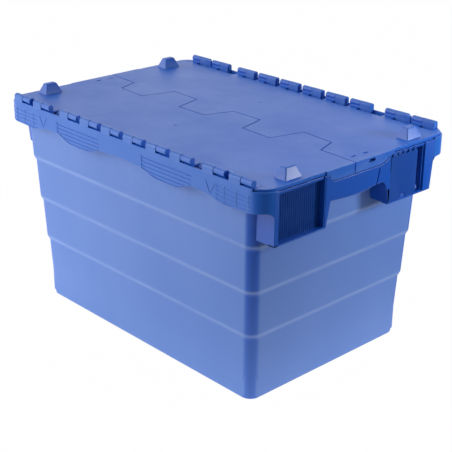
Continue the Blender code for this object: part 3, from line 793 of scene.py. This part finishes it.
# The end faces' darker blue is painted shade.
shaded_face_plastic = plastic("end_face_painted_shade", SHADED_FACE_BLUE, SHADED_FACE_BLUE_DEEP, 0.5, RUBBED_AND_HIGHLIT_BLUE, 0.25,
                       roughness=0.33, specular=0.50, fine=0.08, peel=0.4)
end_parts = [bmesh.new()]
grip_bar(end_parts[0])
end_parts.append(cheek([(-0.0745, BOX_FOOT_Z), (-0.0665, 0.3040), (-0.0665, 0.3150), (-0.0790, 0.3150),
                        (-0.0790, BOX_FOOT_Z)]))
end_parts.append(cheek([(0.0615, BOX_FOOT_Z), (0.0560, 0.2900), (0.0530, 0.2985), (0.0470, 0.3035),
                        (0.0470, 0.3150), (0.0630, 0.3150), (0.0630, BOX_FOOT_Z)]))
end_parts.append(side_wall(-0.0785, -0.0698, BOX_FOOT_Z + 0.0005, 0.3040))
end_parts.append(side_wall(0.0600, 0.0545, BOX_FOOT_Z + 0.0005, 0.2920))
end_parts += pocket_box()
end_parts.append(bar((TUB_END_X, POCKET_BOX_Y[0] + 0.001, DECK_FOOT_Z),
                     (COLLAR_HALF_X - SKIRT + 0.001, PANEL_SIDE_Y - 0.001, DECK_Z - 0.0005)))


# ---- the panel box for the label plate ----------------------------------------------------------
# The same box on the other side of the grip, with room beside the plate for the blade that frees it.
# Its outer end leans in towards the foot, and two ribs inside back the plate up.
PANEL_Y = (0.0625, 0.142)
PLATE_Y = (0.0632, 0.124)
PLATE_TOP_Z = 0.3365
PANEL_LEAN = 0.0045


def panel_box():
    """The frame round the label plate, the back wall, the ribs behind the plate and the blade's stop."""
    face, inner = COLLAR_HALF_X, RECESS_X - 0.003
    lean_foot = PANEL_SIDE_Y - PANEL_LEAN
    strip = [(PANEL_Y[1], BOX_FOOT_Z), (lean_foot, BOX_FOOT_Z), (PANEL_SIDE_Y, 0.311),
             (PANEL_SIDE_Y + 0.0008, DECK_Z), (PANEL_Y[1], DECK_Z)]
    end = [(lean_foot - 0.003, BOX_FOOT_Z + 0.0004), (lean_foot - 0.0004, BOX_FOOT_Z + 0.0004),
           (PANEL_SIDE_Y - 0.0004, 0.311), (PANEL_SIDE_Y - 0.0004, DECK_Z - 0.001),
           (PANEL_SIDE_Y - 0.003, DECK_Z - 0.001)]
    parts = [drawn(strip, "x", inner, face), drawn(end, "x", TUB_END_X, inner + 0.004, 0.0005)]
    parts.append(bar((TUB_END_X, 0.0598, BOX_FOOT_Z), (face, PANEL_Y[0], DECK_Z)))
    parts.append(bar((inner, 0.0598, BOX_FOOT_Z), (face, PANEL_Y[1] + 0.003, RECESS_FLOOR_Z)))
    parts.append(bar((inner, 0.0605, BOX_FOOT_Z + 0.0006),
                     (RECESS_X, PANEL_Y[1] + 0.003, DECK_Z - 0.001), 0.0004))
    for y in (PLATE_Y[0] + 0.004, PLATE_Y[1] - 0.004):
        parts.append(bar((RECESS_X - 0.001, y - 0.00125, BOX_FOOT_Z + 0.001),
                         (face - SKIRT - 0.0006, y + 0.00125, 0.333), 0.0005))
    parts.append(bar((RECESS_X - 0.001, 0.1390, RECESS_FLOOR_Z - 0.001),
                     (face - 0.003, 0.1408, DECK_Z - 0.004), 0.0005))
    return parts


end_work = combined(end_parts + panel_box(), "UNION")
groove = drawn([(0.0305, 0.3035), (0.0329, 0.3035), (0.0385, 0.3275), (0.0361, 0.3275)], "x",
               COLLAR_HALF_X - 0.0019, COLLAR_HALF_X + 0.004, 0.0002)
end_work = combined([end_work, groove], "DIFFERENCE")
and_turned(end_work)
piece("end_boxes_and_grips", end_work, shaded_face_plastic, "container")


# ---- the label plates ---------------------------------------------------------------------------
# A separate smooth plate snaps into each panel box to take a stuck-on label.  Its top edge is cut into
# tabs, and a small latch holds its foot.
PLATE_FACE_X = 0.2997
PLATE_THICKNESS = 0.0027
PLATE_TAB = 0.0050
PLATE_TABS = 5
# Painted shade: the plate gets a darker blue than the end face around it, for the shade over that end.
PLATE_SHADE_BLUE = (0.001, 0.062, 0.370, 1.0)
PLATE_SHADE_BLUE_DEEP = (0.001, 0.054, 0.335, 1.0)
PLATE_RUBBED = (0.160, 0.300, 0.660, 1.0)


def label_plate(work):
    """The flat plate, with a notch for the latch in its foot and tabs along its top."""
    back = PLATE_FACE_X - PLATE_THICKNESS
    foot = RECESS_FLOOR_Z + 0.0003
    width = PLATE_Y[1] - PLATE_Y[0]
    middle = (PLATE_Y[0] + PLATE_Y[1]) / 2
    outline = [(PLATE_Y[0], foot), (middle - 0.006, foot), (middle - 0.006, foot + 0.006),
               (middle + 0.006, foot + 0.006), (middle + 0.006, foot), (PLATE_Y[1], foot)]
    for i in range(PLATE_TABS, 0, -1):
        start = PLATE_Y[0] + width * (2 * i - 1.5) / (2 * PLATE_TABS)
        end = start + width / (2 * PLATE_TABS)
        outline += [(end + 0.0001, PLATE_TOP_Z), (end, PLATE_TOP_Z + PLATE_TAB),
                    (start, PLATE_TOP_Z + PLATE_TAB), (start - 0.0001, PLATE_TOP_Z)]
    outline.insert(6, (PLATE_Y[1], PLATE_TOP_Z))
    outline.append((PLATE_Y[0], PLATE_TOP_Z))
    prism(work, outline, "x", back, PLATE_FACE_X, 0.0004)


def plate_latch(work):
    """The crate's own spring tongue in the notch of the plate."""
    middle = (PLATE_Y[0] + PLATE_Y[1]) / 2
    block(work, (RECESS_X, middle - 0.0052, RECESS_FLOOR_Z),
          (COLLAR_HALF_X - 0.0006, middle + 0.0052, 0.2722))
    block(work, (COLLAR_HALF_X - 0.003, middle - 0.0048, 0.2715),
          (COLLAR_HALF_X, middle + 0.0048, 0.2738), 0.0008)


# The plate's darker blue is painted shade.
plate_shade_plastic = plastic("label_plate_painted_shade", PLATE_SHADE_BLUE, PLATE_SHADE_BLUE_DEEP, 0.5, PLATE_RUBBED, 0.10,
                        roughness=0.34, specular=0.50, fine=0.05, peel=0.35)
for side in ("right", "left"):
    plate_work = bmesh.new()
    label_plate(plate_work)
    if side == "left":
        half_turn(plate_work, plate_work.verts)
    plate = piece("label_plate_" + side + "_shown", plate_work, plate_shade_plastic, "container")
    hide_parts("label_plate_" + side)
latch_work = bmesh.new()
plate_latch(latch_work)
and_turned(latch_work)
piece("plate_latches", latch_work, shaded_face_plastic, "container")


# ---- the lid halves -----------------------------------------------------------------------------
# Two alike mouldings that mesh tooth in tooth down the middle.  Each hangs on its long side by ten
# fingers, carries two stacking lugs, and is stiffened by ribs underneath.
LID_TOP_Z = 0.349
LID_PLATE = 0.003
LID_HALF_X = 0.297
LID_RIM_Z = 0.3437
LID_CORNER = 0.025
LID_EDGE_Y = 0.180
LID_EDGE_FOOT_Y = 0.187
SEAM_GAP = 0.0016
TOOTH_PITCH = 0.150
TOOTH_TIP = 0.060
SEAM_END_Y = 0.0165
LIP_FACE_X = 0.2990
LUG_X, LUG_Y = 0.2763, 0.1295
LUG_FOOT = (0.0122, 0.0170)
LUG_TOP = (0.0055, 0.0095)
LUG_HEIGHT = 0.016
GATE_MARK = (0.001, -0.092)
FINGER = 0.0205
FINGER_GAP = 0.0005
ARM_FOOT_Z = 0.3465
NOTCH = (0.0015, 0.0050, 0.0022)
UNDER_RIB = 0.00125
UNDER_RIB_FOOT_Z = 0.338
LID_BLUE = (0.014, 0.140, 0.650, 1.0)
LID_BLUE_DEEP = (0.010, 0.122, 0.600, 1.0)
LID_RUBBED = (0.260, 0.370, 0.700, 1.0)


def seam_line():
    """The zigzag between the halves, from the -X end to the +X end."""
    lean = TOOTH_PITCH / 2 - TOOTH_TIP
    first = 0.0085
    half = [(first, 0.024), (first + TOOTH_TIP, 0.024)]
    half.append((first + TOOTH_TIP + lean - 0.002, -0.026))
    half.append((first + 2 * TOOTH_TIP + lean - 0.002, -0.029))
    half.append((first + TOOTH_PITCH - 0.001, 0.029))
    half.append((first + TOOTH_PITCH + TOOTH_TIP - 0.001, 0.024))
    half.append((first + TOOTH_PITCH + TOOTH_TIP + lean - 0.003, -0.0132))
    half.append((LID_HALF_X - 0.014, -SEAM_END_Y))
    half.append((COLLAR_HALF_X + 0.001, -SEAM_END_Y))
    return [(-x, -y) for x, y in half[::-1]] + half


def shifted(line, amount):
    """The line moved sideways, with mitred corners."""
    moved = []
    for i, point in enumerate(line):
        here = Vector(point)
        into = (here - Vector(line[i - 1])).normalized() if i else (Vector(line[1]) - here).normalized()
        out = (Vector(line[i + 1]) - here).normalized() if i + 1 < len(line) else into
        normal = Vector((-into.y - out.y, into.x + out.x)).normalized()
        moved.append(tuple(here + normal * (amount / normal.dot(Vector((-into.y, into.x))))))
    return moved


def lid_sheet():
    """The flat sheet, with the seam on one side, the hinge edge on the other and the lips at the ends."""
    edge = [point for point in shifted(seam_line(), -SEAM_GAP / 2) if abs(point[0]) < LID_HALF_X]
    centre = (LID_HALF_X - LID_CORNER, -COLLAR_HALF_Y + SKIRT + LID_CORNER)
    sweep = math.degrees(math.acos((HINGE_HALF - centre[0]) / LID_CORNER))
    right = arc(centre, LID_CORNER, 0, -sweep, 9) + [(HINGE_HALF, -LID_EDGE_Y)]
    left = [(-x, y) for x, y in right[::-1]]
    outline = [(-LIP_FACE_X, SEAM_END_Y - SEAM_GAP / 2)] + edge
    outline += [(LIP_FACE_X, -SEAM_END_Y - SEAM_GAP / 2), (LIP_FACE_X, -0.0758), (LID_HALF_X, -0.0768)]
    outline += right + left + [(-LID_HALF_X, -0.0718), (-LIP_FACE_X, -0.0708)]
    return drawn(outline, "z", LID_TOP_Z - LID_PLATE, LID_TOP_Z, 0.0006, crease=55)


def hinge_edge():
    """The edge that slopes down to the hinge deck."""
    outline = [(-0.1755, LID_TOP_Z - 0.0002), (-LID_EDGE_Y + 0.0004, LID_TOP_Z - 0.0002),
               (-LID_EDGE_FOOT_Y, 0.3452), (-LID_EDGE_FOOT_Y, 0.3437), (-0.184, 0.3437),
               (-LID_EDGE_Y + 0.004, LID_TOP_Z - LID_PLATE + 0.0004)]
    return drawn(outline, "x", -HINGE_HALF - 0.0004, HINGE_HALF + 0.0004, 0.0004, crease=20)


def finger(work, start):
    """A flat arm from the lid that ends in a round barrel over its pin."""
    low = start + KNUCKLE + FINGER_GAP
    barrel = arc((-AXIS_Y, AXIS_Z), HUB_RADIUS - 0.0003, -42, 262, 20)
    root = [(-0.177, ARM_FOOT_Z), (-0.177, 0.3488), (-0.1885, LID_TOP_Z), (-0.1893, LID_TOP_Z + 0.0004)]
    prism(work, root + barrel + [(-0.1954, ARM_FOOT_Z)], "x", low, low + FINGER, 0.0005, crease=50)


def end_rim(side):
    """The turned-down edge along one short end."""
    near, far = sorted((side * (LID_HALF_X - 0.003), side * LID_HALF_X))
    return bar((near, -COLLAR_HALF_Y + 0.0285, LID_RIM_Z - 0.0002),
               (far, -SEAM_END_Y * side - SEAM_GAP / 2, LID_TOP_Z - 0.0008), 0.0006)


def end_lip(side):
    """This half's share of the lip that hangs over the grip."""
    seam_y = -SEAM_END_Y * side - SEAM_GAP / 2
    line = ((-0.060, 0.3318), (-0.067, 0.3356), (-0.0757, 0.3433))
    if side < 0:
        line = ((-0.041, 0.3318), (-0.059, 0.3380), (-0.0707, 0.3440))
    outline = [(seam_y, line[0][1])] + list(line)
    outline += [(line[-1][0], LID_TOP_Z - 0.0008), (seam_y, LID_TOP_Z - 0.0008)]
    near, far = sorted((side * (LID_HALF_X - 0.0028), side * LIP_FACE_X))
    return drawn(outline, "x", near, far, 0.0007)


def rim_roll():
    """The turned-down edge round both corners next to the hinge."""
    centre = (LID_HALF_X - LID_CORNER, -COLLAR_HALF_Y + SKIRT + LID_CORNER)
    parts = []
    for side in (-1, 1):
        outer = arc(centre, LID_CORNER, 0, -60, 8)
        inner = arc(centre, LID_CORNER - 0.003, -60, 0, 8)
        outline = [(side * x, y) for x, y in outer + inner]
        parts.append(drawn(outline, "z", LID_RIM_Z - 0.0002, LID_TOP_Z - 0.0008, 0.0006, crease=55))
    return parts


def lug(work, x):
    """A stacking lug: a blunt four-sided pyramid with soft edges."""
    foot, top = LID_TOP_Z - 0.0010, LID_TOP_Z + LUG_HEIGHT
    corners = ((-1, -1), (1, -1), (1, 1), (-1, 1))
    loops = []
    for z, half in ((foot, LUG_FOOT), (top, LUG_TOP)):
        loops.append([work.verts.new((x + sx * half[0], -LUG_Y + sy * half[1], z)) for sx, sy in corners])
    faces = [work.faces.new(loops[0][::-1]), work.faces.new(loops[1])]
    for i in range(4):
        j = (i + 1) % 4
        faces.append(work.faces.new((loops[0][i], loops[0][j], loops[1][j], loops[1][i])))
    all_edges = [edge for face in faces[1:] for edge in face.edges]
    edges = [edge for edge in all_edges if max(v.co.z for v in edge.verts) > foot + 0.001]
    bmesh.ops.bevel(work, geom=list(set(edges)), offset=0.0016, segments=3, profile=0.5, affect="EDGES")


def gate_mark(work):
    """The raised disc and pip where the melt came in."""
    for radius, z in ((0.0042, LID_TOP_Z + 0.0003), (0.0012, LID_TOP_Z + 0.0007)):
        disc = arc(GATE_MARK, radius, 0, 345, 23)
        prism(work, disc, "z", LID_TOP_Z - 0.0005, z, 0.0002, crease=50)


def under_ribs(work):
    """Three long ribs under the sheet, and five across them."""
    head = LID_TOP_Z - 0.001
    for y in (-0.165, -0.105, -0.045):
        block(work, (-0.255, y - UNDER_RIB, UNDER_RIB_FOOT_Z), (0.255, y + UNDER_RIB, head), 0.0004)
    for i in range(-2, 3):
        x = i * 0.110
        block(work, (x - UNDER_RIB, -0.170, UNDER_RIB_FOOT_Z), (x + UNDER_RIB, -0.040, head), 0.0004)


def lid_half():
    """The front half: the sheet with its edges and lips joined on, then what stands on and under it."""
    parts = [lid_sheet(), hinge_edge()] + rim_roll()
    for side in (-1, 1):
        parts += [end_rim(side), end_lip(side)]
    work = combined(parts, "UNION")
    oval = arc((-0.0147, 0.3435), 0.0025, 90, -90, 10) + arc((-0.0248, 0.3435), 0.0025, -90, -270, 10)
    cutters = [drawn(oval, "x", -0.305, -0.285, 0.0002, crease=60)]
    for x, y in ((-0.280, 0.0002), (-0.2817, -0.0245)):
        low = (x - NOTCH[0], y - NOTCH[1], LID_TOP_Z - NOTCH[2])
        cutters.append(bar(low, (x + NOTCH[0], y + NOTCH[1], LID_TOP_Z + 0.002), 0.0002))
    work = combined([work] + cutters, "DIFFERENCE")
    for start in hinge_starts():
        finger(work, start)
    for side in (-1, 1):
        lug(work, side * LUG_X)
    gate_mark(work)
    under_ribs(work)
    return work


lid_plastic = plastic("lid_polypropylene", LID_BLUE, LID_BLUE_DEEP, 0.7, LID_RUBBED, 0.5,
                      roughness=0.40, specular=0.50, fine=0.15, peel=1.0)
for name, body, turned in (("lid_front", "front_lid", False), ("lid_rear", "rear_lid", True)):
    lid_work = lid_half()
    if turned:
        half_turn(lid_work, lid_work.verts)
    lid = piece(name + "_shown", lid_work, lid_plastic, body)
    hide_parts(name)


# ---- floor --------------------------------------------------------------------------------------
# A plain white sweep that looks evenly white.  The light it throws on the crate is strong close to the
# foot and all over the -X side, and weak elsewhere.
floor_mesh = bpy.data.meshes.new("floor")
floor_mesh.from_pydata([(-30, -30, 0), (30, -30, 0), (30, 30, 0), (-30, 30, 0)], [], [(0, 1, 2, 3)])
floor = bpy.data.objects.new("floor", floor_mesh)
bpy.context.scene.collection.objects.link(floor)
paper = bpy.data.materials.new("white_sweep")
paper.use_nodes = True
paper_tree = paper.node_tree
paper_shader = paper_tree.nodes["Principled BSDF"]
paper_shader.inputs["Base Color"].default_value = (0.80, 0.80, 0.80, 1.0)
paper_shader.inputs["Roughness"].default_value = 0.9
paper_shader.inputs["Specular IOR Level"].default_value = 0.1
spot = paper_tree.nodes.new("ShaderNodeTexCoord")
place = paper_tree.nodes.new("ShaderNodeSeparateXYZ")
paper_tree.links.new(spot.outputs["Object"], place.inputs[0])
from_middle = [calculated(paper_tree, "ABSOLUTE", place.outputs[axis], 0.0) for axis in (0, 1)]
beyond_x = calculated(paper_tree, "SUBTRACT", from_middle[0], 0.25)
beyond_y = calculated(paper_tree, "SUBTRACT", from_middle[1], 0.167)
nearness = spread(paper_tree, calculated(paper_tree, "MAXIMUM", beyond_x, beyond_y), 0.03, 0.42, 1.15, 0.10)
leftness = spread(paper_tree, place.outputs[0], -0.35, 0.45, 1.60, 0.10)
lit = calculated(paper_tree, "MAXIMUM", nearness, leftness)
path = paper_tree.nodes.new("ShaderNodeLightPath")
glow = paper_tree.nodes.new("ShaderNodeEmission")
glow.inputs["Color"].default_value = (1.0, 1.0, 1.0, 1.0)
strength = calculated(paper_tree, "MAXIMUM", path.outputs["Is Camera Ray"],
                      calculated(paper_tree, "MULTIPLY", lit, calculated(
                          paper_tree, "SUBTRACT", 1.0, path.outputs["Is Camera Ray"])))
paper_tree.links.new(strength, glow.inputs["Strength"])
seen = paper_tree.nodes.new("ShaderNodeMixShader")
seen.inputs["Fac"].default_value = 0.99
paper_tree.links.new(paper_shader.outputs["BSDF"], seen.inputs[1])
paper_tree.links.new(glow.outputs["Emission"], seen.inputs[2])
paper_tree.links.new(seen.outputs["Shader"], paper_tree.nodes["Material Output"].inputs["Surface"])
floor_mesh.materials.append(paper)


# ---- studio light -------------------------------------------------------------------------------
# The room is bright beyond the -X end and dim towards +X.  A box lights the long side, a weaker one
# fills the +X end, and a small one close to that end puts a glint on its lip and lugs.
def softbox(name, place, aim, size, power):
    """A rectangular lamp that faces its aim."""
    lamp = bpy.data.lights.new(name, "AREA")
    lamp.shape = "RECTANGLE"
    lamp.size, lamp.size_y = size
    lamp.energy = power
    made = bpy.data.objects.new(name, lamp)
    made.location = place
    made.rotation_euler = (Vector(place) - Vector(aim)).to_track_quat("Z", "Y").to_euler()
    bpy.context.scene.collection.objects.link(made)


softbox("left_box", (-1.9, -2.3, 1.5), (0, 0, 0.2), (1.8, 1.6), 31)
softbox("right_box", (2.4, 0.4, 1.3), (0, 0, 0.2), (1.6, 1.4), 7)
softbox("glint_box", (0.72, 0.38, 0.48), (0.276, 0.0, 0.356), (0.16, 0.11), 2.4)
sky = bpy.data.worlds.new("studio")
bpy.context.scene.world = sky
sky.use_nodes = True
sky_tree = sky.node_tree
ambient = sky_tree.nodes["Background"]
ambient.inputs["Color"].default_value = (0.94, 0.96, 1.0, 1.0)
bearing = sky_tree.nodes.new("ShaderNodeTexCoord")
heading = sky_tree.nodes.new("ShaderNodeSeparateXYZ")
sky_tree.links.new(bearing.outputs["Generated"], heading.inputs[0])
sky_tree.links.new(spread(sky_tree, heading.outputs[0], -0.65, 0.35, 1.12, 0.10), ambient.inputs["Strength"])
backdrop = sky_tree.nodes.new("ShaderNodeBackground")
backdrop.inputs["Color"].default_value = (1.0, 1.0, 1.0, 1.0)
backdrop.inputs["Strength"].default_value = 1.0
sky_path = sky_tree.nodes.new("ShaderNodeLightPath")
sky_mix = sky_tree.nodes.new("ShaderNodeMixShader")
sky_tree.links.new(sky_path.outputs["Is Camera Ray"], sky_mix.inputs["Fac"])
sky_tree.links.new(ambient.outputs["Background"], sky_mix.inputs[1])
sky_tree.links.new(backdrop.outputs["Background"], sky_mix.inputs[2])
sky_tree.links.new(sky_mix.outputs["Shader"], sky_tree.nodes["World Output"].inputs["Surface"])
bpy.context.scene.view_settings.view_transform = "Standard"


# ---- camera -------------------------------------------------------------------------------------
# Above the near corner, looking down about 22 degrees, with a long lens.
lens = bpy.data.cameras.new("camera")
lens.sensor_width = 36.0
lens.lens = 88.28
lens.shift_y = -0.00528
camera = bpy.data.objects.new("camera", lens)
camera.matrix_world = Matrix(((0.6830, -0.2852, 0.6724, 1.2390), (0.7303, 0.2562, -0.6332, -1.1492),
                              (0.0083, 0.9236, 0.3833, 0.8605), (0.0, 0.0, 0.0, 1.0)))
bpy.context.scene.collection.objects.link(camera)
bpy.context.scene.camera = camera
